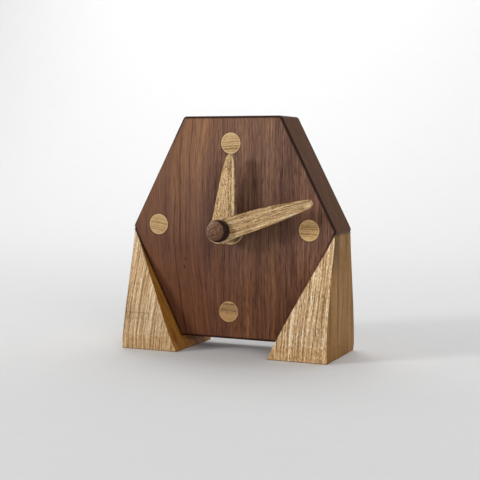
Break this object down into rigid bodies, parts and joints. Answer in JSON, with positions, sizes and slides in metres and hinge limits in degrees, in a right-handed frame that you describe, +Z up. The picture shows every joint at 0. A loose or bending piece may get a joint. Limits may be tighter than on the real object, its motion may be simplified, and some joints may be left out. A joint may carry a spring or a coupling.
{
  "type": "desk clock",
  "caption": "Wooden desk clock: thick hexagonal walnut slab on two flared light-wood legs, inlaid round hour marks, wooden hands with a turned knob, and a quartz movement set into the back.",
  "frame": {"origin": "on the floor, below the middle of the whole clock's box", "axes": "+Z up, -Y the dial side, +Y the back, +X to the right seen from the front"},
  "size_m": [0.1236, 0.0542, 0.1325],
  "materials": {
    "walnut": "oiled walnut, satin",
    "leg_wood": "open-grained ash, matt, rough-brushed",
    "dowel_wood": "plain beech",
    "inlay_wood": "ash plug, sanded flush",
    "ring_wood": "ash ring, matt",
    "hand_wood": "ash, sanded, matt",
    "knob_walnut": "turned walnut, satin",
    "brass": "turned",
    "steel": "plain",
    "rubber": "matt",
    "black_plastic": "moulded, fine texture",
    "white_plastic": "moulded acetal",
    "magnet": "sintered ferrite",
    "copper_wire": "enamelled winding wire",
    "board": "phenolic board",
    "chip_resin": "resin blob",
    "crystal_can": "tinned can",
    "cell_jacket": "plain jacket with bare metal ends"
  },
  "bodies": {
    "clock": {"body": "walnut", "left_leg": "leg_wood", "right_leg": "leg_wood", "leg_dowels": "dowel_wood", "inlay_12": "inlay_wood", "inlay_3": "inlay_wood", "inlay_6": "inlay_wood", "inlay_9": "inlay_wood", "centre_ring": "ring_wood", "fixing_washer": "brass", "fixing_nut": "brass", "threaded_bush": "brass", "rubber_gasket": "rubber", "movement_case": "black_plastic", "movement_cover": "black_plastic", "middle_plate": "white_plastic", "train_bridge": "white_plastic", "stator": "steel", "coil_core": "steel", "coil_bobbin": "white_plastic", "coil_winding": "copper_wire", "circuit_board": "board", "clock_chip": "chip_resin", "quartz_crystal": "crystal_can", "contact_positive": "steel", "contact_negative": "steel"},
    "minute_group": {"minute_arbor": "steel", "minute_hand": "hand_wood", "minute_hand_bush": "brass", "knob": "knob_walnut", "knob_insert": "brass"},
    "hour_group": {"hour_wheel": "white_plastic", "hour_hand": "hand_wood", "hour_hand_bush": "brass"},
    "minute_work": {"minute_work_wheel": "white_plastic"},
    "setting": {"setting_knob": "black_plastic"},
    "seconds": {"seconds_wheel": "white_plastic"},
    "third": {"third_wheel": "white_plastic"},
    "centre": {"centre_wheel": "white_plastic"},
    "intermediate": {"intermediate_wheel": "white_plastic"},
    "rotor": {"rotor_pinion": "white_plastic", "rotor_magnet": "magnet"},
    "cell": {"aa_cell": "cell_jacket"}
  },
  "joints": [
    {"name": "minute_turn", "type": "hinge", "parent": "clock", "child": "minute_group", "pos_m": [-0.0006, -0.0181, 0.06935], "axis": [0, 1, 0], "continuous": true},
    {"name": "hour_turn", "type": "hinge", "parent": "clock", "child": "hour_group", "pos_m": [-0.0006, -0.0161, 0.06935], "axis": [0, 1, 0], "continuous": true},
    {"name": "minute_work_turn", "type": "hinge", "parent": "clock", "child": "minute_work", "pos_m": [0.00729, 0.0039, 0.06648], "axis": [0, 1, 0], "continuous": true},
    {"name": "setting_turn", "type": "hinge", "parent": "clock", "child": "setting", "pos_m": [0.0166, 0.0109, 0.06484], "axis": [0, 1, 0], "continuous": true},
    {"name": "seconds_turn", "type": "hinge", "parent": "clock", "child": "seconds", "pos_m": [-0.0006, 0.0099, 0.06935], "axis": [0, 1, 0], "continuous": true},
    {"name": "third_turn", "type": "hinge", "parent": "clock", "child": "third", "pos_m": [-0.0096, 0.0099, 0.06935], "axis": [0, 1, 0], "continuous": true},
    {"name": "centre_turn", "type": "hinge", "parent": "clock", "child": "centre", "pos_m": [-0.0006, 0.0077, 0.06935], "axis": [0, 1, 0], "continuous": true},
    {"name": "intermediate_turn", "type": "hinge", "parent": "clock", "child": "intermediate", "pos_m": [0.00251, 0.0099, 0.0779], "axis": [0, 1, 0], "continuous": true},
    {"name": "rotor_turn", "type": "hinge", "parent": "clock", "child": "rotor", "pos_m": [0.0016, 0.0099, 0.0831], "axis": [0, 1, 0], "continuous": true},
    {"name": "cell_out", "type": "slide", "parent": "clock", "child": "cell", "axis": [0, 1, 0], "range_m": [0, 0.018]}
  ],
  "couplings": [
    {"joint": "minute_work_turn", "follows": "minute_turn", "ratio": -0.33333},
    {"joint": "hour_turn", "follows": "minute_turn", "ratio": 0.083333},
    {"joint": "setting_turn", "follows": "minute_turn", "ratio": 0.66667},
    {"joint": "third_turn", "follows": "seconds_turn", "ratio": -0.13333},
    {"joint": "centre_turn", "follows": "seconds_turn", "ratio": 0.016667},
    {"joint": "intermediate_turn", "follows": "seconds_turn", "ratio": -6},
    {"joint": "rotor_turn", "follows": "seconds_turn", "ratio": 30}
  ]
}
